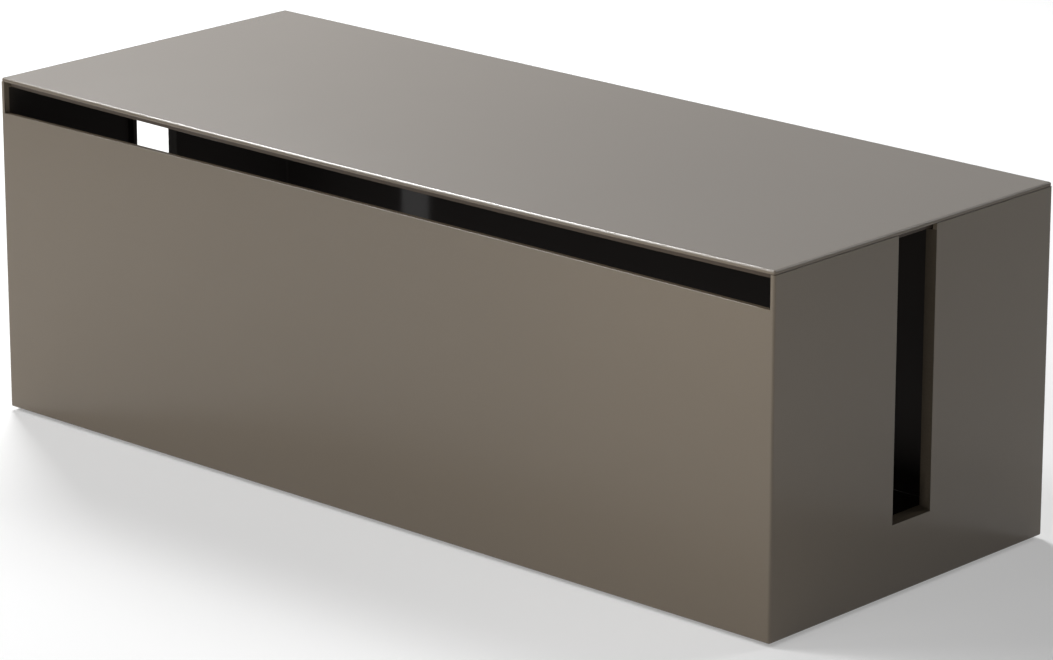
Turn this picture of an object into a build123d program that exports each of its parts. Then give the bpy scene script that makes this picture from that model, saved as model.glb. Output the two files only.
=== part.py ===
from build123d import *
import os

# Cable management box: an open-topped case with a long gap along the top of its
# front and a cable slot in each end, a lift-off lid and four rubber feet.
#
# Millimetres. X runs along the length, Y from the front (-Y) to the back, Z up.
# The origin is on the ground, under the middle of the box.

# ---- Overall -----------------------------------------------------------------
LENGTH = 405.0
DEPTH = 160.0
HEIGHT = 140.0            # ground to the top of the lid

# ---- Case moulding -----------------------------------------------------------
WALL = 2.0
FLOOR = 2.2
CORNER_R = 1.0            # upright corners outside
INNER_R = 1.0             # corners inside, upright and around the floor
BASE_EDGE_R = 0.8         # outside edge around the underside
EDGE_R = 0.5              # edges that a hand or a cable meets
FRONT_GAP = 12.8          # from the top of the front wall up to the rim

# ---- Cable slot in each end wall ---------------------------------------------
SLOT_WIDTH = 22.0
SILL_HEIGHT = 27.2        # underside of the case to the sill, at the outside
SILL_RISE = 1.2           # how much higher the sill is at its inner edge
REVEAL_DEPTH = 5.0        # outside face to the inner edge of the slot's collar
COLLAR_WALL = 2.0

# ---- Lid ---------------------------------------------------------------------
LID_PLATE = 1.6
LID_INSET = 0.2           # lid edge inside the case's outline, all round
LID_CORNER_R = 1.5
LID_TOP_EDGE_R = 0.6
LID_UNDER_EDGE_R = 0.4
RIB_HEIGHT = 2.1          # locating rib that drops inside the walls
RIB_WALL = 1.5
RIB_CLEARANCE = 0.5       # rib to the inside of the walls
COLLAR_CLEARANCE = 0.5    # rib to the top of the slot's collar

# ---- Feet --------------------------------------------------------------------
FOOT_DIAMETER = 14.0
FOOT_THICKNESS = 2.0
FOOT_SEAT = 0.5           # depth of the seat that the foot is stuck in
FOOT_SEAT_CLEARANCE = 0.2 # all round the foot
FOOT_INSET = 22.0         # foot centre to the outside of both walls
FOOT_EDGE_R = 0.4

# ---- Modelling allowances ----------------------------------------------------
CUT_OVER = 5.0            # how far a cutting shape runs past the material
TOUCH = 0.01              # nearer than this counts as lying on a face

# ---- Worked out from the sizes above -----------------------------------------
CASE_BOTTOM = FOOT_THICKNESS - FOOT_SEAT
FLOOR_TOP = CASE_BOTTOM + FLOOR
RIM = HEIGHT - LID_PLATE
FRONT_TOP = RIM - FRONT_GAP
SILL = CASE_BOTTOM + SILL_HEIGHT
INSIDE_LENGTH = LENGTH - 2 * WALL
INSIDE_DEPTH = DEPTH - 2 * WALL

END_SIDES = {"left": -1, "right": 1}
DEPTH_SIDES = {"front": -1, "back": 1}


def upright_block(length, depth, low, high, corner_r):
    """Block centred on the Z axis, from one height to another, with rounded upright corners."""
    outline = RectangleRounded(length, depth, corner_r)
    return Pos(0, 0, low) * extrude(outline, amount=high - low)


def span_block(low_corner, high_corner):
    """Plain block between two opposite corners."""
    size = [high - low for low, high in zip(low_corner, high_corner)]
    middle = [(high + low) / 2 for low, high in zip(low_corner, high_corner)]
    return Pos(*middle) * Box(*size)


def case_tub():
    """Open tub: four walls and a floor, rounded inside and out."""
    outside = upright_block(LENGTH, DEPTH, CASE_BOTTOM, RIM, CORNER_R)
    outside = fillet(outside.edges().group_by(Axis.Z)[0], BASE_EDGE_R)
    inside = upright_block(INSIDE_LENGTH, INSIDE_DEPTH, FLOOR_TOP, RIM + CUT_OVER, INNER_R)
    inside = fillet(inside.edges().group_by(Axis.Z)[0], INNER_R)
    return outside - inside


def front_gap_cut():
    """Takes the top of the front wall away between the two end walls."""
    half = INSIDE_LENGTH / 2
    front = -DEPTH / 2
    return span_block(
        (-half, front - CUT_OVER, FRONT_TOP),
        (half, front + WALL + INNER_R, RIM + CUT_OVER),
    )


def slot_collar(side):
    """Solid collar inside an end wall, which the slot is then cut through."""
    half_width = SLOT_WIDTH / 2 + COLLAR_WALL
    collar_top = RIM - RIB_HEIGHT - COLLAR_CLEARANCE
    inner, outer = LENGTH / 2 - REVEAL_DEPTH, LENGTH / 2 - WALL / 2
    low_x, high_x = sorted((side * inner, side * outer))
    return span_block(
        (low_x, -half_width, SILL - COLLAR_WALL),
        (high_x, half_width, collar_top),
    )


def slot_cut(side):
    """Slot from the sill up through the rim; the sill slopes up from outside to inside."""
    outer = LENGTH / 2 + CUT_OVER
    inner = LENGTH / 2 - REVEAL_DEPTH - CUT_OVER
    slope = SILL_RISE / REVEAL_DEPTH
    sill_outer = SILL - slope * CUT_OVER
    sill_inner = SILL + slope * (REVEAL_DEPTH + CUT_OVER)
    top = RIM + CUT_OVER
    profile = Plane.XZ * Polyline(
        (side * outer, sill_outer),
        (side * outer, top),
        (side * inner, top),
        (side * inner, sill_inner),
        close=True,
    )
    return extrude(make_face(profile), amount=SLOT_WIDTH / 2, both=True)


def foot_centres():
    """Plan position of each foot, by name."""
    return {
        f"foot_{row}_{end}": (
            end_side * (LENGTH / 2 - FOOT_INSET),
            row_side * (DEPTH / 2 - FOOT_INSET),
        )
        for row, row_side in DEPTH_SIDES.items()
        for end, end_side in END_SIDES.items()
    }


def foot_seat_cut(x, y):
    """Round seat in the underside for one foot."""
    radius = FOOT_DIAMETER / 2 + FOOT_SEAT_CLEARANCE
    seat = Cylinder(radius, FOOT_SEAT + CUT_OVER, align=(Align.CENTER, Align.CENTER, Align.MAX))
    return Pos(x, y, CASE_BOTTOM + FOOT_SEAT) * seat


def is_softened(edge):
    """True for an outside edge of the rim, of the front gap or of a slot in an end wall."""
    centre = edge.center()
    from_end = LENGTH / 2 - abs(centre.X)
    from_face = DEPTH / 2 - abs(centre.Y)
    on_rim = centre.Z > RIM - TOUCH and min(from_end, from_face) < CORNER_R / 2
    beside_slot = abs(centre.Y) < SLOT_WIDTH / 2 + TOUCH and centre.Z > SILL - TOUCH
    on_slot = from_end < TOUCH and beside_slot
    beside_gap = abs(centre.X) < INSIDE_LENGTH / 2 + TOUCH and centre.Z > FRONT_TOP - TOUCH
    on_gap = centre.Y < TOUCH - DEPTH / 2 and beside_gap
    return on_rim or on_slot or on_gap


def make_case():
    """Case in one moulding, with its front gap, its two slots with collars and the foot seats."""
    case = case_tub() - front_gap_cut()
    for side in END_SIDES.values():
        case = case + slot_collar(side)
        case = case - slot_cut(side)
    case = fillet(case.edges().filter_by(is_softened), EDGE_R)
    for x, y in foot_centres().values():
        case = case - foot_seat_cut(x, y)
    return case


def make_lid():
    """Flat lid that lies on the rim, with a locating rib all round its underside."""
    plate = upright_block(
        LENGTH - 2 * LID_INSET, DEPTH - 2 * LID_INSET, RIM, HEIGHT, LID_CORNER_R
    )
    plate = fillet(plate.edges().group_by(Axis.Z)[-1], LID_TOP_EDGE_R)
    plate = fillet(plate.edges().group_by(Axis.Z)[0], LID_UNDER_EDGE_R)
    rib_length = INSIDE_LENGTH - 2 * RIB_CLEARANCE
    rib_depth = INSIDE_DEPTH - 2 * RIB_CLEARANCE
    rib_low = RIM - RIB_HEIGHT
    rib = upright_block(rib_length, rib_depth, rib_low, RIM, INNER_R)
    rib_hollow = span_block(
        (-rib_length / 2 + RIB_WALL, -rib_depth / 2 + RIB_WALL, rib_low - CUT_OVER),
        (rib_length / 2 - RIB_WALL, rib_depth / 2 - RIB_WALL, RIM),
    )
    return plate + (rib - rib_hollow)


def make_foot(x, y):
    """Round rubber foot with a softened sole edge."""
    foot = Cylinder(
        FOOT_DIAMETER / 2, FOOT_THICKNESS, align=(Align.CENTER, Align.CENTER, Align.MIN)
    )
    foot = fillet(foot.edges().group_by(Axis.Z)[0], FOOT_EDGE_R)
    return Pos(x, y, 0) * foot


def main():
    os.makedirs("parts", exist_ok=True)
    nodes = {"case": make_case(), "lid": make_lid()}
    for name, (x, y) in foot_centres().items():
        nodes[name] = make_foot(x, y)
    for name, solid in nodes.items():
        export_step(solid, f"parts/{name}.step")
        print(f"{name}: {solid.volume:.1f} mm3")


main()
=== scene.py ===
"""Looks of the cable management box: its surfaces, finishes and studio, built around the CAD frame.

Metres, in the frame's own axes: X along the length, Y from the front to the back, Z up.
The case and the lid are made as clean surfaces, with the small sag of the lid and the small bow
of the front wall that such long thin mouldings have. The feet are the frame's own nodes.
"""

import logging
import math
from dataclasses import dataclass, replace
from enum import IntEnum

import bpy
import numpy as np
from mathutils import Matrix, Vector


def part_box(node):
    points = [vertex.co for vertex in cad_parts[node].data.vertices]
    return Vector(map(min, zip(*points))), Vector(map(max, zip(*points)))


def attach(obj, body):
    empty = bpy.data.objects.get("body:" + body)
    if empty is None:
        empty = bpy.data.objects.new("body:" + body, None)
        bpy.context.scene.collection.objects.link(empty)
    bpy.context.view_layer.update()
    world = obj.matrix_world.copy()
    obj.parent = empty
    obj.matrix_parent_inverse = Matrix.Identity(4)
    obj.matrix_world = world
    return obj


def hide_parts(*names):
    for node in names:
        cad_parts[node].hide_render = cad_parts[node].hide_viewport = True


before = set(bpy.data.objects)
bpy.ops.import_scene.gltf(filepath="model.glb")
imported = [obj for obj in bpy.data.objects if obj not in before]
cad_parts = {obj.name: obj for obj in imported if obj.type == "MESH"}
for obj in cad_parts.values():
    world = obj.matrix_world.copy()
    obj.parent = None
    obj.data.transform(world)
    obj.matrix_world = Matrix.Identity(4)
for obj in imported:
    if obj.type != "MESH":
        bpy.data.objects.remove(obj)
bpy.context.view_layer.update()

log = logging.getLogger("cable_box")

MM = 0.001
WELD = 0.001 * MM           # points nearer than this are one point
TOUCH = 0.01 * MM           # nearer than this counts as lying on a face
FOLD = math.radians(40)     # a sharper fold than this is an edge, and not part of a curve
EDGE_STEPS = 3              # faces across an edge that the bevel rounds
ARC_RINGS = 7               # outlines across an edge that is rounded by hand

Colour = tuple[float, float, float]


class Coat(IntEnum):
    """What a face of a moulding is finished with: the number of its material slot."""

    SPRAYED = 0
    BARE = 1
    # sides of the slots: a near-black material of their own, which is painted shade
    SLOT_SIDE = 2


# ---- Surfaces ----------------------------------------------------------------


@dataclass(frozen=True)
class Marks:
    """Where the upright grid lines of a moulding cross its sides, from its middle.

    The outermost mark of each array is the end of a side, where the corner arc starts. A mark
    up to `free_x` or `free_y` keeps its place on every outline; those beyond are squeezed.
    """

    along_x: np.ndarray
    along_y: np.ndarray
    free_x: float
    free_y: float
    arc_steps: int = 6

    def side(self, marks: np.ndarray, free: float, end: float) -> np.ndarray:
        """Marks of one side, with the outermost one moved to `end` and the free ones kept.

        Args:
            marks: Marks of the side, rising and symmetric.
            free: Up to here from the middle, a mark stays in place.
            end: Where the straight part of the side ends on this outline.

        Returns:
            The marks, moved in proportion beyond `free`.
        """
        reach = marks[-1]
        return np.interp(marks, [-reach, -free, free, reach], [-end, -free, free, end])

    def ring(self, half_x: float, half_y: float, radius: float) -> np.ndarray:
        """Outline of a rounded rectangle, anticlockwise from the left end of the front, and closed.

        A side's points are its marks. A corner's points are its centre plus the radius times
        (cos a, sin a), for evenly spaced angles a over a quarter turn.

        Args:
            half_x: Half the length.
            half_y: Half the depth.
            radius: Corner radius; at zero, the points of an arc fall together.

        Returns:
            Points (x, y), one for each upright grid line, with the first one again at the end.
        """
        end_x, end_y = half_x - radius, half_y - radius
        x = self.side(self.along_x, self.free_x, end_x)
        y = self.side(self.along_y, self.free_y, end_y)
        sides = (
            np.stack([x, np.full_like(x, -half_y)], axis=1),
            np.stack([np.full_like(y, half_x), y], axis=1),
            np.stack([x[::-1], np.full_like(x, half_y)], axis=1),
            np.stack([np.full_like(y, -half_x), y[::-1]], axis=1),
        )
        centres = ((end_x, -end_y), (end_x, end_y), (-end_x, end_y), (-end_x, -end_y))
        turn = np.linspace(0, math.pi / 2, self.arc_steps + 1)[1:-1]
        outline = []
        for quarter, (side, centre) in enumerate(zip(sides, centres)):
            angle = turn + (quarter - 1) * math.pi / 2
            arc = np.array(centre) + radius * np.stack([np.cos(angle), np.sin(angle)], axis=1)
            outline += [side, arc]
        return np.concatenate([*outline, sides[0][:1]])

    def plate(self, half_x: float, half_y: float, z: float) -> np.ndarray:
        """Level grid that fills a sharp-cornered outline, one line for each mark.

        Args:
            half_x: Half the length.
            half_y: Half the depth.
            z: Height of the plate.

        Returns:
            Points as an array (marks along X, marks along Y, 3), which looks up.
        """
        x = self.side(self.along_x, self.free_x, half_x)
        y = self.side(self.along_y, self.free_y, half_y)
        grid_x, grid_y = np.meshgrid(x, y, indexing="ij")
        return np.stack([grid_x, grid_y, np.full_like(grid_x, z)], axis=-1)


def loft(rings: list[tuple[np.ndarray, float]]) -> np.ndarray:
    """Stacks level outlines into a grid, so that a profile runs from each ring to the next.

    Args:
        rings: Outlines (x, y) with as many points each, and the height of each.

    Returns:
        Points as an array (rings, points, 3). Listed from the top down, or inwards along an
        underside, it looks outwards.
    """
    return np.stack([np.column_stack([ring, np.full(len(ring), z)]) for ring, z in rings])


def cell_skin(solid: np.ndarray) -> np.ndarray:
    """Quads between the solid and the empty cells of a block of points.

    Cell (i, j, k) lies between points (i, j, k) and (i + 1, j + 1, k + 1). Along each of the
    three directions, a quad stands wherever the next cell differs, and it looks at the empty one.

    Args:
        solid: Which cells are solid, with one more layer of cells all round, which says what
            lies beyond the block.

    Returns:
        Four point numbers for each quad, counted through the block of points.
    """
    count = [size - 1 for size in solid.shape]
    number = np.arange(math.prod(count)).reshape(count)
    quads = []
    for axis in range(3):
        order = (axis, (axis + 1) % 3, (axis + 2) % 3)
        point = np.transpose(number, order)
        change = np.diff(np.transpose(solid, order).astype(int), axis=0)[:, 1:-1, 1:-1]
        corners = np.stack(
            [point[:, :-1, :-1], point[:, 1:, :-1], point[:, 1:, 1:], point[:, :-1, 1:]], axis=-1
        )
        quads += [corners[change < 0], corners[change > 0][:, ::-1]]
    return np.concatenate(quads)


class Skin:
    """Patches of a moulding's surface, gathered and welded into one closed mesh."""

    def __init__(self) -> None:
        """Starts with no patch."""
        self._points: list[np.ndarray] = []
        self._quads: list[np.ndarray] = []
        self._coats: list[np.ndarray] = []
        self._count = 0

    def add(self, points: np.ndarray, quads: np.ndarray, coats: np.ndarray) -> None:
        """Adds a patch.

        Args:
            points: Points of the patch, in any shape that ends in 3.
            quads: Four point numbers for each face, counted within the patch.
            coats: Coat of each face.
        """
        flat = points.reshape(-1, 3)
        self._points.append(flat)
        self._quads.append(quads + self._count)
        self._coats.append(coats)
        self._count += len(flat)

    def add_grid(self, grid: np.ndarray, coat: Coat, keep: np.ndarray | None = None) -> None:
        """Adds a grid of points as quads that look along its first direction crossed with its second.

        Args:
            grid: Points as an array (rows, columns, 3).
            coat: Coat of the whole patch.
            keep: Which quads to keep, as an array (rows - 1, columns - 1), or None for all.
        """
        rows, columns = grid.shape[:2]
        number = np.arange(rows * columns).reshape(rows, columns)
        quads = np.stack(
            [number[:-1, :-1], number[1:, :-1], number[1:, 1:], number[:-1, 1:]], axis=-1
        )
        quads = quads.reshape(-1, 4) if keep is None else quads[keep]
        self.add(grid, quads, np.full(len(quads), int(coat)))

    def mesh(self, name: str) -> tuple[bpy.types.Mesh, np.ndarray]:
        """Welds the patches and makes the mesh, smooth shaded.

        Points that round to the same place are one. A quad with two corners in one place
        becomes a triangle, and one with fewer than three corners left is dropped.

        Args:
            name: Name of the mesh.

        Returns:
            The mesh and its points as an array (points, 3).
        """
        points = np.concatenate(self._points)
        coats = np.concatenate(self._coats)
        places = np.round(points / WELD).astype(np.int64)
        _, first, target = np.unique(places, axis=0, return_index=True, return_inverse=True)
        points = points[first]
        quads = target.reshape(-1)[np.concatenate(self._quads)]
        distinct = quads != np.roll(quads, 1, axis=1)
        corners = distinct.sum(axis=1)
        whole, three = corners == 4, corners == 3
        faces = quads[whole].tolist() + quads[three][distinct[three]].reshape(-1, 3).tolist()
        mesh = bpy.data.meshes.new(name)
        mesh.from_pydata(points.tolist(), [], faces)
        mesh.polygons.foreach_set("material_index", np.concatenate([coats[whole], coats[three]]))
        mesh.polygons.foreach_set("use_smooth", np.ones(len(faces), bool))
        mesh.update()
        return mesh, points


def folds(mesh: bpy.types.Mesh) -> tuple[np.ndarray, np.ndarray]:
    """Finds the edges of a closed mesh and how far it turns there.

    The turn is the angle between the normals of the two faces at an edge. It is positive where
    the middle of the second face lies below the plane of the first, which is a convex edge.

    Args:
        mesh: Closed mesh, with two faces at each edge.

    Returns:
        The two point numbers of each edge, and the turn at each edge in radians.
    """
    edges = np.empty(len(mesh.edges) * 2, np.int32)
    mesh.edges.foreach_get("vertices", edges)
    loop_edges = np.empty(len(mesh.loops), np.int32)
    mesh.loops.foreach_get("edge_index", loop_edges)
    totals = np.empty(len(mesh.polygons), np.int32)
    mesh.polygons.foreach_get("loop_total", totals)
    normals = np.empty(len(mesh.polygons) * 3, np.float32)
    mesh.polygons.foreach_get("normal", normals)
    centres = np.empty(len(mesh.polygons) * 3, np.float32)
    mesh.polygons.foreach_get("center", centres)
    normals, centres = normals.reshape(-1, 3), centres.reshape(-1, 3)
    if not np.all(np.bincount(loop_edges, minlength=len(mesh.edges)) == 2):
        raise ValueError(f"the surface of {mesh.name} isn't closed")
    loop_faces = np.repeat(np.arange(len(totals)), totals)
    first, second = loop_faces[np.argsort(loop_edges, kind="stable")].reshape(-1, 2).T
    turn = np.arccos(np.clip((normals[first] * normals[second]).sum(axis=1), -1, 1))
    below = ((centres[second] - centres[first]) * normals[first]).sum(axis=1) < 0
    return edges.reshape(-1, 2), np.where(below, turn, -turn)


def round_edges(piece: bpy.types.Object, radii: np.ndarray, turn: np.ndarray) -> None:
    """Rounds the edges of a moulding and keeps its flats flat.

    Args:
        piece: The moulding.
        radii: Radius at each edge of its mesh, or zero.
        turn: Turn at each edge, from `folds`.
    """
    mesh = piece.data
    widest = float(radii.max())
    weight = mesh.attributes.new("bevel_weight_edge", "FLOAT", "EDGE")
    weight.data.foreach_set("value", (radii / widest).astype(np.float32))
    sharp = mesh.attributes.new("sharp_edge", "BOOLEAN", "EDGE")
    sharp.data.foreach_set("value", (np.abs(turn) > FOLD) & (radii == 0))
    bevel = piece.modifiers.new("rounded_edges", "BEVEL")
    bevel.limit_method = "WEIGHT"
    bevel.width = widest
    bevel.segments = EDGE_STEPS
    shading = piece.modifiers.new("flat_faces", "WEIGHTED_NORMAL")
    shading.keep_sharp = True


def place(name: str, mesh: bpy.types.Mesh, materials: list[bpy.types.Material]) -> bpy.types.Object:
    """Puts a mesh into the scene with its materials.

    Args:
        name: Name of the piece.
        mesh: Its mesh, already in place.
        materials: Its materials, in the order of their slots.

    Returns:
        The new object, at the origin.
    """
    for material in materials:
        mesh.materials.append(material)
    piece = bpy.data.objects.new(name, mesh)
    bpy.context.scene.collection.objects.link(piece)
    return piece


# ---- Finishes ----------------------------------------------------------------


class Wiring:
    """Adds nodes to a node tree and joins them."""

    def __init__(self, tree: bpy.types.NodeTree) -> None:
        """Works on one node tree."""
        self.tree = tree

    def node(self, kind: str, inputs: dict | None = None, **settings: object) -> bpy.types.Node:
        """Adds a node.

        Args:
            kind: Type of the node, without "ShaderNode".
            inputs: Value or output socket for each named or numbered input.
            settings: Properties of the node itself.

        Returns:
            The node.
        """
        made = self.tree.nodes.new(kind if kind.startswith("NodeGroup") else "ShaderNode" + kind)
        for name, value in settings.items():
            setattr(made, name, value)
        for name, value in (inputs or {}).items():
            self.feed(made.inputs[name], value)
        return made

    def feed(self, socket: bpy.types.NodeSocket, value: object) -> None:
        """Joins an output socket to an input, or sets the input's value."""
        if isinstance(value, bpy.types.NodeSocket):
            self.tree.links.new(value, socket)
        else:
            socket.default_value = value

    def math(self, operation: str, *values: object, clamp: bool = False) -> bpy.types.NodeSocket:
        """Adds a Math node.

        Args:
            operation: Its operation.
            values: Its inputs, each a number or an output socket.
            clamp: Whether the result is kept between 0 and 1.

        Returns:
            Its output.
        """
        node = self.node("Math", dict(enumerate(values)), operation=operation, use_clamp=clamp)
        return node.outputs[0]

    def noise(
        self, where: object, scale: object, detail: float = 2.0, roughness: float = 0.5
    ) -> bpy.types.NodeSocket:
        """Adds a noise texture at some places and gives its value."""
        inputs = {"Vector": where, "Scale": scale, "Detail": detail, "Roughness": roughness}
        return self.node("TexNoise", inputs).outputs["Fac"]

    def spread(self, value: object, low: object, high: object) -> bpy.types.NodeSocket:
        """Spreads a value from 0 to 1 evenly over low to high."""
        span = {"Value": value, "To Min": low, "To Max": high}
        return self.node("MapRange", span).outputs["Result"]

    def fall(self, value: object, start: float, end: float, top: float) -> bpy.types.NodeSocket:
        """Falls smoothly from `top` to 0 as a value goes from start to end, and stays there."""
        span = {"Value": value, "From Min": start, "From Max": end, "To Min": top, "To Max": 0.0}
        return self.node("MapRange", span, interpolation_type="SMOOTHSTEP").outputs["Result"]

    def blend(self, factor: object, low: object, high: object) -> bpy.types.NodeSocket:
        """Blends two colours, each given as a colour or an output socket."""
        node = self.node("Mix", data_type="RGBA")
        first, second = [socket for socket in node.inputs if socket.type == "RGBA"]
        self.feed(node.inputs["Factor"], factor)
        self.feed(first, low)
        self.feed(second, high)
        return next(socket for socket in node.outputs if socket.type == "RGBA")


def rgba(colour: Colour) -> tuple[float, float, float, float]:
    """A colour with full alpha."""
    return (*colour, 1.0)


def group_sockets(tree: bpy.types.NodeTree, into: dict[str, str], out: dict[str, str]) -> None:
    """Gives a node group its sockets.

    Args:
        tree: The group.
        into: Name and kind (Float, Vector or Color) of each input.
        out: Name and kind of each output.
    """
    for names, way in ((into, "INPUT"), (out, "OUTPUT")):
        for name, kind in names.items():
            tree.interface.new_socket(name=name, in_out=way, socket_type=f"NodeSocket{kind}")


@dataclass(frozen=True)
class FineSkin:
    """Node group for a fine moulded or sprayed skin: grain, faint clouding and a dimpled height.

    Grain is noise a few dimples wide, clouding is noise some centimetres wide. Tone and Gloss
    mix both, and Height adds a finer noise to the dimples.
    """

    name: str = "fine_skin"
    finer: float = 3.7            # how much finer the second grain is than the dimples
    finer_clouds: float = 2.3     # how much finer the clouding of the gloss is than that of the tone
    cloud_share: float = 0.62     # share of the clouding in the tone
    fine_share: float = 0.30      # share of the second grain in the height

    def group(self) -> bpy.types.NodeTree:
        """Builds the group: Vector, Dimples and Clouds per metre in; Tone, Gloss and Height out."""
        tree = bpy.data.node_groups.new(self.name, "ShaderNodeTree")
        group_sockets(
            tree,
            {"Vector": "Vector", "Dimples": "Float", "Clouds": "Float"},
            {"Tone": "Float", "Gloss": "Float", "Height": "Float"},
        )
        wiring = Wiring(tree)
        into = wiring.node("NodeGroupInput").outputs
        out = wiring.node("NodeGroupOutput")
        where = into["Vector"]
        fine_scale = wiring.math("MULTIPLY", into["Dimples"], self.finer)
        gloss_scale = wiring.math("MULTIPLY", into["Clouds"], self.finer_clouds)
        dimples = wiring.noise(where, into["Dimples"], detail=1.5)
        fine = wiring.noise(where, fine_scale, detail=1.0)
        clouds = wiring.noise(where, into["Clouds"], detail=3.0, roughness=0.45)
        gloss_clouds = wiring.noise(where, gloss_scale)
        wiring.feed(out.inputs["Tone"], wiring.spread(self.cloud_share, fine, clouds))
        wiring.feed(out.inputs["Gloss"], wiring.spread(self.cloud_share, dimples, gloss_clouds))
        wiring.feed(out.inputs["Height"], wiring.spread(self.fine_share, dimples, fine))
        return tree


class SkinWiring(Wiring):
    """Wiring of a new material that has the fine_skin group in it."""

    def __init__(self, name: str, skin: bpy.types.NodeTree, dimples: float, clouds: float) -> None:
        """Makes the material and places the group at the piece's own coordinates.

        Args:
            name: Name of the material.
            skin: The fine_skin group.
            dimples: Dimples in a metre.
            clouds: Cloudy patches in a metre.
        """
        self.material = bpy.data.materials.new(name)
        self.material.use_nodes = True
        super().__init__(self.material.node_tree)
        self.surface = self.tree.nodes["Principled BSDF"].inputs
        self.where = self.node("TexCoord").outputs["Object"]
        inputs = {"Vector": self.where, "Dimples": dimples, "Clouds": clouds}
        self.grain = self.node("Group", inputs, node_tree=skin).outputs

    def paint(self, mask: object, low: Colour, high: Colour) -> None:
        """Blends the base colour from low to high by a mask."""
        self.feed(self.surface["Base Color"], self.blend(mask, rgba(low), rgba(high)))

    def dull(self, mask: object, low: float, high: float) -> None:
        """Spreads the roughness from low to high by a mask."""
        self.feed(self.surface["Roughness"], self.spread(mask, low, high))


@dataclass(frozen=True)
class Satin:
    """A fine satin skin in one colour, sprayed or moulded."""

    name: str
    deep: Colour
    pale: Colour
    smooth: float
    rough: float
    dimples: float = 900.0        # dimples in a metre
    clouds: float = 14.0          # cloudy patches in a metre
    depth: float = 0.004 * MM
    ior: float = 1.5

    def material(self, skin: bpy.types.NodeTree) -> bpy.types.Material:
        """Builds the material.

        Args:
            skin: The fine_skin group.

        Returns:
            The material.
        """
        wiring = SkinWiring(self.name, skin, self.dimples, self.clouds)
        wiring.paint(wiring.grain["Tone"], self.deep, self.pale)
        wiring.dull(wiring.grain["Gloss"], self.smooth, self.rough)
        bump = wiring.node("Bump", {"Height": wiring.grain["Height"], "Distance": self.depth})
        wiring.feed(wiring.surface["Normal"], bump.outputs["Normal"])
        wiring.surface["IOR"].default_value = self.ior
        return wiring.material


@dataclass(frozen=True)
class BareGloss:
    """The bare dark plastic inside, polished by the mould, with overspray along its open edges and
    painted light that fades inwards from them.
    """

    name: str
    plastic: Colour
    spray: Colour
    half_x: float                 # half the length of the case
    half_y: float                 # half its depth
    top: float = 1.0              # height of the rim; overspray comes down from there
    solid: float = 2.2 * MM       # the spray is solid this far in behind the front
    fade: float = 0.8 * MM        # and ends over this distance
    slot_spray_and_light: float = 0.0       # share of the spray at the outside of the right slot's sides: partly overspray, partly painted light
    slot_fade: float = 20.0 * MM  # how far in from there it would fade away
    entry_light: float = 0.10            # painted light: share of the spray colour further in, near the front and the rim where light comes in
    entry_light_reach: float = 9.0 * MM
    speckle: tuple[float, float] = (0.8, 1.2)    # how much the grain thins or thickens the spray
    dimples: float = 1600.0       # dimples in a metre
    clouds: float = 30.0          # cloudy patches in a metre
    smooth: float = 0.07          # roughness of the plastic
    rough: float = 0.26           # roughness of the spray
    ior: float = 1.28

    def material(self, skin: bpy.types.NodeTree) -> bpy.types.Material:
        """Builds the material.

        A point's depth is how far it lies behind the front or below the rim, whichever is less.
        The spray falls smoothly from 1 to 0 between `solid` and `solid` plus `fade`. Painted light,
        lighter near the front and the rim where light comes in, falls in the same way from
        `entry_light` over `entry_light_reach`. On the sides of the right slot, spray that is partly
        overspray and partly painted light also falls over `slot_fade` from the outside of the right
        end wall; the left slot is too far from there to have any. The greatest of the three counts,
        broken up by grain.

        Args:
            skin: The fine_skin group.

        Returns:
            The material.
        """
        wiring = SkinWiring(self.name, skin, self.dimples, self.clouds)
        axes = wiring.node("SeparateXYZ", {"Vector": wiring.where}).outputs
        behind = wiring.math("ADD", axes["Y"], self.half_y)
        below = wiring.math("SUBTRACT", self.top, axes["Z"])
        depth = wiring.math("MINIMUM", behind, below)
        spray = wiring.fall(depth, self.solid, self.solid + self.fade, 1.0)
        # painted light: lighter near the front and the rim, where light comes in, fading inwards
        spray = wiring.math("MAXIMUM", spray, wiring.fall(depth, 0.0, self.entry_light_reach, self.entry_light))
        # on the right slot's sides, spray lightens them towards the outside: partly overspray, partly
        # painted light
        if self.slot_spray_and_light:
            inwards = wiring.math("SUBTRACT", self.half_x, axes["X"])
            slot_lightening = wiring.fall(inwards, 0.0, self.slot_fade, self.slot_spray_and_light)
            spray = wiring.math("MAXIMUM", spray, slot_lightening)
        speckle = wiring.spread(wiring.grain["Height"], *self.speckle)
        spray = wiring.math("MULTIPLY", spray, speckle, clamp=True)
        wiring.paint(spray, self.plastic, self.spray)
        wiring.dull(spray, self.smooth, self.rough)
        wiring.surface["IOR"].default_value = self.ior
        return wiring.material


# ---- The box -----------------------------------------------------------------


@dataclass(frozen=True)
class Foot:
    """Where a foot stands and how wide its seat is, from the frame."""

    x: float
    y: float
    seat_radius: float
    seat_top: float

    @classmethod
    def of(cls, node: str, clearance: float = 0.2 * MM) -> "Foot":
        """Reads a foot's node in the frame."""
        low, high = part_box(node)
        middle = (low + high) / 2
        return cls(middle.x, middle.y, (high.x - low.x) / 2 + clearance, high.z)


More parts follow.
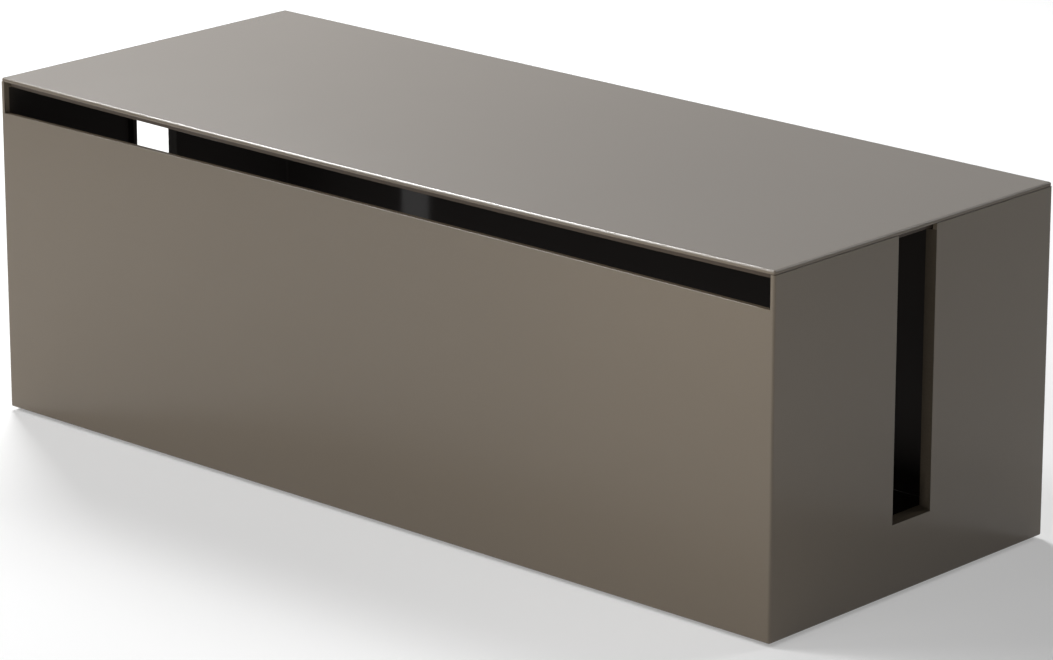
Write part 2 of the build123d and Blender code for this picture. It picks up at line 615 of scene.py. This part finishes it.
@dataclass
class Case:
    """The open case: floor, back, low front wall and two slotted end walls in one moulding."""

    low: Vector
    high: Vector
    feet: list[Foot]
    wall: float = 2.0 * MM
    floor: float = 2.2 * MM
    corner: float = 1.0 * MM          # upright corners, outside and inside
    floor_edge: float = 0.3 * MM      # around the floor inside
    base_edge: float = 0.8 * MM
    edge: float = 0.5 * MM            # outer edges of the rim and of the sides of the slots
    inner_edge: float = 0.2 * MM      # inner edges of the rim, the gap and the slots
    jamb_edge: float = 0.8 * MM       # outer edges at the two ends of the front gap
    front_edge: float = 1.4 * MM      # top outer edge of the front wall
    sill_edge: float = 1.0 * MM       # outer edges of the sills of the slots
    front_gap: float = 12.8 * MM
    slot_half: float = 11.0 * MM
    sill_height: float = 27.2 * MM
    sill_slope: float = 1.2 / 5.0
    reveal: float = 5.0 * MM
    collar: float = 2.0 * MM
    collar_drop: float = 2.6 * MM     # from the rim down to the top of the collar
    bow: float = 1.0 * MM             # how far the top of the front wall stands in at its middle
    bow_start: float = 20.0 * MM
    seat_square: float = 12.0 * MM    # half the patch of the underside that holds a foot's seat
    seat_cells: int = 8               # cells along that patch
    seat_rings: int = 4               # outlines from the patch's edge to the seat
    long_cells: int = 28
    wall_rows: int = 6

    def __post_init__(self) -> None:
        """Works out the heights, the half sizes and the marks."""
        self.half_x, self.half_y = self.high.x, self.high.y
        self.rim = self.high.z
        self.front_top = self.rim - self.front_gap
        self.sill = self.low.z + self.sill_height
        self.gap_half = self.half_x - self.wall
        tick = np.linspace(-self.seat_square, self.seat_square, self.seat_cells + 1)
        foot_x, foot_y = max(foot.x for foot in self.feet), max(foot.y for foot in self.feet)
        long = np.linspace(self.seat_square - foot_x, foot_x - self.seat_square, self.long_cells + 1)
        ends_x = np.array([self.gap_half, self.half_x - self.corner])
        ends_y = np.array([self.slot_half, self.slot_half + self.collar, self.half_y - self.corner])
        self.ticks = tick
        self.marks = Marks(
            along_x=np.unique(np.round(np.concatenate(
                [-ends_x, tick - foot_x, long, tick + foot_x, ends_x]), 7)),
            along_y=np.unique(np.round(np.concatenate(
                [-ends_y, tick - foot_y, tick + foot_y, ends_y]), 7)),
            free_x=foot_x + self.seat_square,
            free_y=foot_y + self.seat_square,
        )

    def _outlines(self) -> tuple[np.ndarray, np.ndarray, np.ndarray, np.ndarray]:
        """Outlines of the walls.

        Above the front wall, the inside is square at its two front corners, so that the end
        walls end in a flat jamb: there the inner outline runs straight forward to the front.

        Returns:
            The outer outline, the inner one below and above the top of the front wall, and the
            one through the inner face of the collars.
        """
        outer = self.marks.ring(self.half_x, self.half_y, self.corner)
        inner = self.marks.ring(self.half_x - self.wall, self.half_y - self.wall, self.corner)
        x, y = outer.T
        at_nose = (np.abs(x) > self.gap_half - TOUCH) & (y < self.corner - self.half_y + TOUCH)
        along = (np.abs(x) - self.gap_half + y + self.half_y) / (self.wall + self.corner)
        forward = np.stack(
            [np.sign(x) * self.gap_half, along * (self.wall + self.corner) - self.half_y], axis=1
        )
        inner_above = np.where(at_nose[:, None], forward, inner)
        reach = self.half_x - self.reveal
        collar = np.stack([np.clip(inner[:, 0], -reach, reach), inner[:, 1]], axis=1)
        return outer, inner, inner_above, collar

    def _walls(self, skin: Skin) -> None:
        """Adds the walls, the jambs, the slots and their collars, as the skin of a block of cells.

        The block's directions are up, round the outline, and inwards through the wall and the
        collar. A cell is empty in the front gap and in the slots, and the collar's cells are
        solid beside and below a slot only.
        """
        outer, inner, inner_above, collar = self._outlines()
        sill_foot = self.sill - self.collar
        between = np.linspace(self.sill, self.front_top, self.wall_rows + 1)[1:-1]
        up = np.array([
            self.low.z + self.base_edge, sill_foot, self.sill, *between,
            self.front_top, self.front_top, self.rim - self.collar_drop, self.rim,
        ])
        sill_row = int(np.argmax(up == self.sill))
        above = np.arange(len(up)) > np.argmax(up == self.front_top)
        points = np.empty((len(up), len(outer), 3, 3))
        for depth, outline in enumerate((outer, inner, collar)):
            points[:, :, depth, :2] = outline
            points[:, :, depth, 2] = up[:, None]
        points[above, :, 1, :2] = inner_above
        points[0, :, 1:, 2] = self.low.z + self.floor + self.floor_edge
        points[sill_row, :, 1:, 2] += self.sill_slope * np.array([self.wall, self.reveal])

        mid_x, mid_y = np.abs((outer[1:] + outer[:-1]) / 2).T
        mid_z = ((up[1:] + up[:-1]) / 2)[:, None]
        front = (outer[1:, 1] + outer[:-1, 1]) / 2 < TOUCH - self.half_y
        on_end = mid_x > self.half_x - TOUCH
        in_gap = front & (mid_x < self.gap_half) & (mid_z > self.front_top - TOUCH)
        in_slot = on_end & (mid_y < self.slot_half) & (mid_z > self.sill)
        by_slot = on_end & (mid_y < self.slot_half + self.collar)
        in_collar = by_slot & (mid_z > sill_foot) & (mid_z < self.rim - self.collar_drop)
        solid = np.zeros((len(up) + 1, len(outer) + 1, 4), bool)
        solid[0, :, 1] = True
        solid[1:-1, 1:-1, 1] = ~in_gap & ~in_slot
        solid[1:-1, 1:-1, 2] = in_collar & ~in_slot
        solid[:, 0] = solid[:, -2]
        solid[:, -1] = solid[:, 1]
        quads = cell_skin(solid)

        meets_outside = (quads % points.shape[2]).min(axis=1) == 0
        x, y, z = np.moveaxis(points.reshape(-1, 3)[quads], -1, 0)
        inwards = np.ptp(x, axis=1) > TOUCH
        # the sides of the slots take their own near-black material, which is painted shade
        slot_side_painted_shade = inwards & (np.abs(np.abs(y) - self.slot_half).max(axis=1) < TOUCH)
        slot_side_painted_shade &= z.max(axis=1) > self.sill + TOUCH
        sill = inwards & (np.abs(y).max(axis=1) < self.slot_half + TOUCH) & ~slot_side_painted_shade
        sill &= z.min(axis=1) > sill_foot + TOUCH
        coats = np.select(
            [slot_side_painted_shade, meets_outside | sill], [Coat.SLOT_SIDE, Coat.SPRAYED], Coat.BARE
        )
        skin.add(points, quads, coats)

    def _rounded(
        self, half_x: float, half_y: float, level: float, radius: float
    ) -> list[tuple[np.ndarray, float]]:
        """Outlines of a rounded edge, from an upright wall down to a level face.

        They lie on a quarter circle, with an inset of r (1 - cos a) and a drop of r sin a. The
        last one is the sharp-cornered outline that the face starts from.

        Args:
            half_x: Half the length of the wall's outline.
            half_y: Half its depth.
            level: Height of the face.
            radius: Radius of the edge.

        Returns:
            The outlines and their heights, from the top down.
        """
        turn = np.linspace(0, math.pi / 2, ARC_RINGS)
        insets, drops = radius * (1 - np.cos(turn)), radius * np.sin(turn)
        outlines = [
            self.marks.ring(half_x - inset, half_y - inset, self.corner - inset)
            for inset in insets
        ]
        flat = self.marks.ring(half_x - self.corner, half_y - self.corner, 0.0)
        return [*zip(outlines, level + radius - drops), (flat, level)]

    def _bottom(self, skin: Skin) -> None:
        """Adds the floor inside, the underside, and the rounded edges around both."""
        corner, floor = self.corner, self.low.z + self.floor
        flat_x, flat_y = self.half_x - corner, self.half_y - corner
        in_x, in_y = self.half_x - self.wall, self.half_y - self.wall
        outside = self._rounded(self.half_x, self.half_y, self.low.z, self.base_edge)
        inside = self._rounded(in_x, in_y, floor, self.floor_edge)
        skin.add_grid(loft(outside), Coat.SPRAYED)
        skin.add_grid(loft(inside[::-1]), Coat.BARE)
        skin.add_grid(self.marks.plate(in_x - corner, in_y - corner, floor), Coat.BARE)

        under = self.marks.plate(flat_x, flat_y, self.low.z)
        middle = (under[1:, 1:] + under[:-1, :-1]) / 2
        seats = np.array([[foot.x, foot.y] for foot in self.feet])
        away = np.abs(middle[:, :, None, :2] - seats).max(axis=-1).min(axis=-1)
        skin.add_grid(
            np.swapaxes(under, 0, 1), Coat.SPRAYED, keep=(away > self.seat_square).T
        )

    def _seat(self, skin: Skin, foot: Foot) -> None:
        """Adds the round seat of one foot, in its square of the underside.

        The rings go from the square's outline to the circle, as a straight blend of the two,
        then up the seat's wall and in to its middle. The circle is the square's outline, with
        each point drawn in along its own radius.
        """
        ticks = Marks(self.ticks, self.ticks, self.seat_square, self.seat_square, arc_steps=1)
        square = ticks.ring(self.seat_square, self.seat_square, 0.0)
        circle = square / np.hypot(*square.T)[:, None] * foot.seat_radius
        centre = np.array([foot.x, foot.y])
        rings = [
            (centre + square + (circle - square) * share, self.low.z)
            for share in np.linspace(0, 1, self.seat_rings)
        ]
        rings += [(centre + circle * share, foot.seat_top) for share in (1.0, 0.5, 0.0)]
        skin.add_grid(loft(rings), Coat.SPRAYED)

    def build(self, materials: list[bpy.types.Material]) -> bpy.types.Object:
        """Builds the case and puts it in the place of the frame's node.

        The front wall stands in by bow times (1 - (x / half the gap) squared) times the square
        of how far up the wall a point is.

        Args:
            materials: The material of each coat, in the order of their numbers.

        Returns:
            The piece.
        """
        skin = Skin()
        self._walls(skin)
        self._bottom(skin)
        for foot in self.feet:
            self._seat(skin, foot)
        mesh, points = skin.mesh("case_shell")
        edges, turn = folds(mesh)
        x, y, z = points.T
        outside = (np.abs(x) > self.half_x - TOUCH) | (np.abs(y) > self.half_y - TOUCH)
        on_outside = outside[edges].all(axis=1)
        crisp = (turn > FOLD) & (z[edges].min(axis=1) > self.low.z + self.floor)
        on_front = y < self.wall - self.half_y + TOUCH
        at_gap = on_front & (np.abs(x) < self.gap_half + TOUCH) & (z > self.front_top - TOUCH)
        on_gap = at_gap[edges].all(axis=1)
        on_top = on_gap & (z[edges].max(axis=1) < self.front_top + TOUCH)
        at_sill = (np.abs(y) < self.slot_half + TOUCH) & (np.abs(z - self.sill) < TOUCH)
        on_sill = at_sill[edges].all(axis=1)
        radii = np.select(
            [~crisp, ~on_outside, on_top, on_gap, on_sill],
            [0.0, self.inner_edge, self.front_edge, self.jamb_edge, self.sill_edge],
            self.edge,
        )

        up = np.clip((z - self.bow_start) / (self.front_top - self.bow_start), 0, 1)
        along = np.clip(1 - (x / self.gap_half) ** 2, 0, 1)
        points[:, 1] += np.where(on_front, self.bow * along * up**2, 0.0)
        mesh.vertices.foreach_set("co", points.astype(np.float32).reshape(-1))
        mesh.update()
        piece = place("case_shell", mesh, materials)
        round_edges(piece, radii, turn)
        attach(piece, "case")
        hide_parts("case")
        return piece


@dataclass
class Lid:
    """The flat lid: a thin plate with a locating rib all round its underside."""

    low: Vector
    high: Vector
    rim: float                        # height of the case's rim, which the plate lies on
    back_wall: float                  # where the back wall's inner face starts to carry it
    gap_half: float                   # half the free length between the end walls
    corner: float = 1.0 * MM
    top_edge: float = 0.7 * MM
    under_edge: float = 0.4 * MM
    rib_edge: float = 0.3 * MM
    rib_inset: float = 2.3 * MM       # lid's edge to the rib's outside
    rib_wall: float = 1.5 * MM
    rib_corner: float = 1.0 * MM
    sag: float = 1.4 * MM             # at the middle of its unsupported front edge
    margin: float = 5.0 * MM          # from the end of a side to the first of its free marks
    long_cells: int = 48
    deep_cells: int = 16

    def _sagged(self, points: np.ndarray) -> np.ndarray:
        """Lowers points by the lid's sag.

        It is sag times (1 - (x / half the free length) squared) times the share of the depth
        between the back wall and the front, and nothing over the walls that carry the lid.
        """
        x, y, _ = points.T
        along = np.clip(1 - (x / self.gap_half) ** 2, 0, 1)
        forward = np.clip((self.back_wall - y) / (self.back_wall + self.high.y), 0, 1)
        lowered = points.copy()
        lowered[:, 2] -= self.sag * along * forward
        return lowered

    def build(self, materials: list[bpy.types.Material]) -> bpy.types.Object:
        """Builds the lid and puts it in the place of the frame's node.

        One profile is carried round the outline: over the top's edge, down its side, in to the
        rib, down its outside, across its foot and up its inside. A grid fills the top and
        another the underside.

        Args:
            materials: The sprayed material, and the bare one, which also paints the shade on the
                rib's outside.

        Returns:
            The piece.
        """
        half_x, half_y = self.high.x, self.high.y
        end_x, end_y = half_x - self.corner, half_y - self.corner
        free_x, free_y = end_x - self.margin, end_y - self.margin
        marks = Marks(
            along_x=np.array([-end_x, *np.linspace(-free_x, free_x, self.long_cells + 1), end_x]),
            along_y=np.array([-end_y, *np.linspace(-free_y, free_y, self.deep_cells + 1), end_y]),
            free_x=free_x,
            free_y=free_y,
        )
        rib_x, rib_y = half_x - self.rib_inset, half_y - self.rib_inset
        hollow_x, hollow_y = rib_x - self.rib_wall, rib_y - self.rib_wall
        hollow_corner = self.rib_corner / 2
        top, foot = self.high.z, self.low.z
        edge = marks.ring(half_x, half_y, self.corner)
        rib = marks.ring(rib_x, rib_y, self.rib_corner)
        hollow = marks.ring(hollow_x, hollow_y, hollow_corner)
        inner_x, inner_y = hollow_x - hollow_corner, hollow_y - hollow_corner
        skin = Skin()
        skin.add_grid(marks.plate(end_x, end_y, top), Coat.SPRAYED)
        skin.add_grid(
            loft([
                (marks.ring(end_x, end_y, 0.0), top), (edge, top), (edge, self.rim),
                (rib, self.rim),
            ]),
            Coat.SPRAYED,
        )
        # The rib's outside takes the bare material, whose spray thins out across it: its darker brown
        # is painted shade under the plate's edge.
        skin.add_grid(
            loft([
                (rib, self.rim), (rib, foot), (hollow, foot), (hollow, self.rim),
                (marks.ring(inner_x, inner_y, 0.0), self.rim),
            ]),
            Coat.BARE,
        )
        under = marks.plate(inner_x, inner_y, self.rim)
        skin.add_grid(np.swapaxes(under, 0, 1), Coat.BARE)
        mesh, points = skin.mesh("lid_panel")
        edges, turn = folds(mesh)
        height = points[edges, 2].min(axis=1)
        radii = np.select(
            [turn < FOLD, height > top - TOUCH, height > self.rim - TOUCH],
            [0.0, self.top_edge, self.under_edge],
            self.rib_edge,
        )
        mesh.vertices.foreach_set("co", self._sagged(points).astype(np.float32).reshape(-1))
        mesh.update()
        piece = place("lid_panel", mesh, materials)
        round_edges(piece, radii, turn)
        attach(piece, "lid")
        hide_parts("lid")
        return piece


@dataclass
class Feet:
    """The four rubber feet, which are the frame's own nodes."""

    nodes: list[str]

    def build(self, rubber: bpy.types.Material) -> list[bpy.types.Object]:
        """Gives each foot the rubber material.

        Args:
            rubber: The material.

        Returns:
            The feet.
        """
        feet = [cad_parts[node] for node in self.nodes]
        for foot in feet:
            foot.data.materials.clear()
            foot.data.materials.append(rubber)
        return feet


# ---- The studio --------------------------------------------------------------


@dataclass(frozen=True)
class Lamp:
    """A soft lamp: a panel at a place, or a far one that shines along a direction.

    `strength` is how bright a panel looks, where 1 is white; for a far lamp it is the light
    that falls on a surface square to it. `width` is a side of a panel in metres, or the angle
    that a far lamp covers in degrees.
    """

    name: str
    towards: tuple[float, float, float]    # place of a panel, or direction to a far lamp
    strength: float
    width: float
    aim: tuple[float, float, float] | None = None    # what a panel points at; a far lamp has none
    height: float | None = None            # other side of a panel, where it isn't square
    glossy: bool = True                    # whether it shows in reflections

    def build(self) -> bpy.types.Object:
        """Puts the lamp into the scene, unseen by the camera."""
        far = self.aim is None
        light = bpy.data.lights.new(self.name, "SUN" if far else "AREA")
        if far:
            light.angle = math.radians(self.width)
            light.energy = self.strength
        else:
            light.shape = "RECTANGLE"
            light.size, light.size_y = self.width, self.height or self.width
            light.energy = self.strength * light.size * light.size_y * math.pi
        lamp = bpy.data.objects.new(self.name, light)
        bpy.context.scene.collection.objects.link(lamp)
        lamp.visible_camera = False
        lamp.visible_glossy = self.glossy
        lamp.rotation_mode = "QUATERNION"
        to_lamp = Vector(self.towards) if far else Vector(self.towards) - Vector(self.aim)
        lamp.rotation_quaternion = (-to_lamp).to_track_quat("-Z", "Y")
        if not far:
            lamp.location = self.towards
        return lamp


def bearing(turn: float, height: float) -> tuple[float, float, float]:
    """Direction that lies some degrees to the left of the back, and some above the ground."""
    turn, height = math.radians(turn), math.radians(height)
    return (-math.sin(turn) * math.cos(height), math.cos(turn) * math.cos(height), math.sin(height))


@dataclass
class Studio:
    """Camera, pale floor, soft lamps and the glow of a white wall behind on the left."""

    camera_place: tuple[float, float, float] = (1.2485, -1.3383, 0.6226)
    camera_aim: tuple[float, float, float] = (0.0059, 0.00546, 0.0583)
    sensor: float = 36.0
    lens: float = 167.64
    clip: tuple[float, float] = (0.05, 100.0)    # nearest and farthest things it sees
    floor_half: float = 8.0
    paper: Colour = (0.9, 0.9, 0.9)
    paper_glow: float = 0.3           # share of plain white in the floor as the camera sees it
    wall: Colour = (0.955, 1.0, 1.06)
    wall_seen: float = 0.58           # brightness of the far wall to the camera and in reflections
    air: float = 0.03                 # light that comes from all round
    glow: tuple[float, float, float] = bearing(60, 12)    # brightest place of the wall
    glow_strength: float = 0.80
    glow_tightness: float = 80.0
    lamps: tuple[Lamp, ...] = (
        Lamp("key", (-0.80, 0.42, 0.91), 37.0, 0.35, aim=(-0.05, 0.0, 0.10)),
        Lamp("high_left", bearing(114.5, 43.6), 0.82, 12.0),
        Lamp("high_front", (-0.49, -0.575, 0.59), 7.0, 0.3, aim=(0.0, -0.08, 0.08)),
        Lamp("left_front", (-0.32, -0.60, 0.25), 1.9, 0.3, aim=(-0.18, -0.08, 0.07)),
        Lamp("right_low", (0.30, -0.34, 0.20), 1.0, 0.2, aim=(0.21, -0.08, 0.11)),
        Lamp("right_near", (0.19, -0.22, 0.17), 1.8, 0.12, aim=(0.19, -0.08, 0.11)),
        Lamp("back_right", bearing(337, 40), 0.52, 15.0),
        Lamp(
            "inside", (0.0, 0.0, 0.012), 1.4, 0.36, aim=(0.0, 0.0, 0.2), height=0.10, glossy=False
        ),
    )

    def camera(self) -> bpy.types.Object:
        """Makes the camera and looks through it."""
        data = bpy.data.cameras.new("camera")
        data.sensor_width = self.sensor
        data.lens = self.lens
        data.clip_start, data.clip_end = self.clip
        camera = bpy.data.objects.new("camera", data)
        bpy.context.scene.collection.objects.link(camera)
        camera.location = self.camera_place
        camera.rotation_mode = "QUATERNION"
        sight = Vector(self.camera_aim) - Vector(self.camera_place)
        camera.rotation_quaternion = sight.to_track_quat("-Z", "Y")
        bpy.context.scene.camera = camera
        return camera

    @staticmethod
    def seen(wiring: Wiring) -> bpy.types.NodeSocket:
        """Is 1 for rays from the camera, through glass and off a gloss, and 0 for all others."""
        rays = wiring.node("LightPath").outputs
        seen = wiring.math("MAXIMUM", rays["Is Camera Ray"], rays["Is Glossy Ray"])
        return wiring.math("MAXIMUM", seen, rays["Is Transmission Ray"])

    def floor(self) -> bpy.types.Object:
        """Makes the floor: white paper that keeps shadows and is a little whiter to the eye."""
        half = self.floor_half
        mesh = bpy.data.meshes.new("floor")
        mesh.from_pydata(
            [(-half, -half, 0), (half, -half, 0), (half, half, 0), (-half, half, 0)],
            [],
            [(0, 1, 2, 3)],
        )
        material = bpy.data.materials.new("paper_floor")
        material.use_nodes = True
        tree = material.node_tree
        tree.nodes.clear()
        wiring = Wiring(tree)
        paper = wiring.node("BsdfDiffuse", {"Color": rgba(self.paper)})
        white = wiring.node("Emission", {"Strength": 1.0})
        share = wiring.math("MULTIPLY", self.seen(wiring), self.paper_glow)
        above = wiring.node("MixShader", {0: share, 1: paper.outputs[0], 2: white.outputs[0]})
        below = wiring.node("NewGeometry").outputs["Backfacing"]
        clear = wiring.node("BsdfTransparent")
        both = wiring.node("MixShader", {0: below, 1: above.outputs[0], 2: clear.outputs[0]})
        wiring.node("OutputMaterial", {"Surface": both.outputs[0]})
        floor = place("floor", mesh, [material])
        return floor

    def world(self) -> None:
        """Lights the air evenly, and shows a pale wall all round to the camera and to gloss.

        The wall glows more by ((1 + cos a) / 2) to a power, with a the angle from its brightest
        place.
        """
        world = bpy.data.worlds.new("studio_air")
        bpy.context.scene.world = world
        world.use_nodes = True
        wiring = Wiring(world.node_tree)
        sky = world.node_tree.nodes["Background"]
        direction = wiring.node("TexCoord").outputs["Generated"]
        cosine = wiring.node("VectorMath", {0: direction, 1: self.glow}, operation="DOT_PRODUCT")
        half_way = wiring.math("MULTIPLY_ADD", cosine.outputs["Value"], 0.5, 0.5)
        lobe = wiring.math("POWER", half_way, self.glow_tightness)
        plain = wiring.spread(self.seen(wiring), self.air, self.wall_seen)
        strength = wiring.math("MULTIPLY_ADD", lobe, self.glow_strength, plain)
        wiring.feed(sky.inputs["Strength"], strength)
        wiring.feed(sky.inputs["Color"], rgba(self.wall))

    def build(self) -> None:
        """Builds the studio and sets the view transform."""
        bpy.context.scene.view_settings.view_transform = "Standard"
        self.camera()
        self.floor()
        self.world()
        for lamp in self.lamps:
            lamp.build()


def main() -> None:
    """Builds the box and its studio, and reports each piece."""
    logging.basicConfig(level=logging.INFO, format="%(name)s: %(message)s")
    skin = FineSkin().group()
    taupe = Satin(
        "taupe_spray", deep=(0.149, 0.118, 0.0835), pale=(0.160, 0.128, 0.0915),
        smooth=0.19, rough=0.24,
    )
    rubber = Satin(
        "foot_rubber", deep=(0.018, 0.018, 0.018), pale=(0.032, 0.031, 0.030),
        smooth=0.62, rough=0.78, dimples=1500.0, depth=0.02 * MM,
    )
    foot_nodes = sorted(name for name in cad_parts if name.startswith("foot_"))
    case = Case(*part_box("case"), feet=[Foot.of(node) for node in foot_nodes])
    inside = BareGloss(
        "case_inside", plastic=(0.020, 0.018, 0.017), spray=(0.150, 0.1215, 0.0885),
        half_x=case.half_x, half_y=case.half_y, top=case.rim,
    )
    # painted shade: the sides of the slots are a near-black plastic, darker than the rest of the
    # inside; on the right slot, spray lightens them towards the outside, partly overspray and partly
    # painted light
    slot_side_painted_shade = replace(
        inside, name="slot_side_painted_shade", plastic=(0.008, 0.007, 0.006), slot_spray_and_light=0.50, ior=1.08
    )
    # the lid's underside: its brown plastic and the spray that thins out across the rib's outside
    # make the rib darker, which is painted shade under the plate's overhang
    under_lid_with_painted_shade = replace(
        inside, name="lid_inside_with_painted_shade", plastic=(0.070, 0.053, 0.040), top=BareGloss.top,
        solid=1.5 * MM, fade=1.2 * MM, ior=1.2,
    )
    spray = taupe.material(skin)
    shell = case.build([spray, inside.material(skin), slot_side_painted_shade.material(skin)])
    log.info("%s: %d faces", shell.name, len(shell.data.polygons))
    lid = Lid(
        *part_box("lid"), rim=case.rim, back_wall=case.half_y - case.wall, gap_half=case.gap_half
    )
    panel = lid.build([spray, under_lid_with_painted_shade.material(skin)])
    log.info("%s: %d faces", panel.name, len(panel.data.polygons))
    for foot in Feet(foot_nodes).build(rubber.material(skin)):
        log.info("%s: %d faces", foot.name, len(foot.data.polygons))
    Studio().build()


if __name__ == "__main__":
    main()
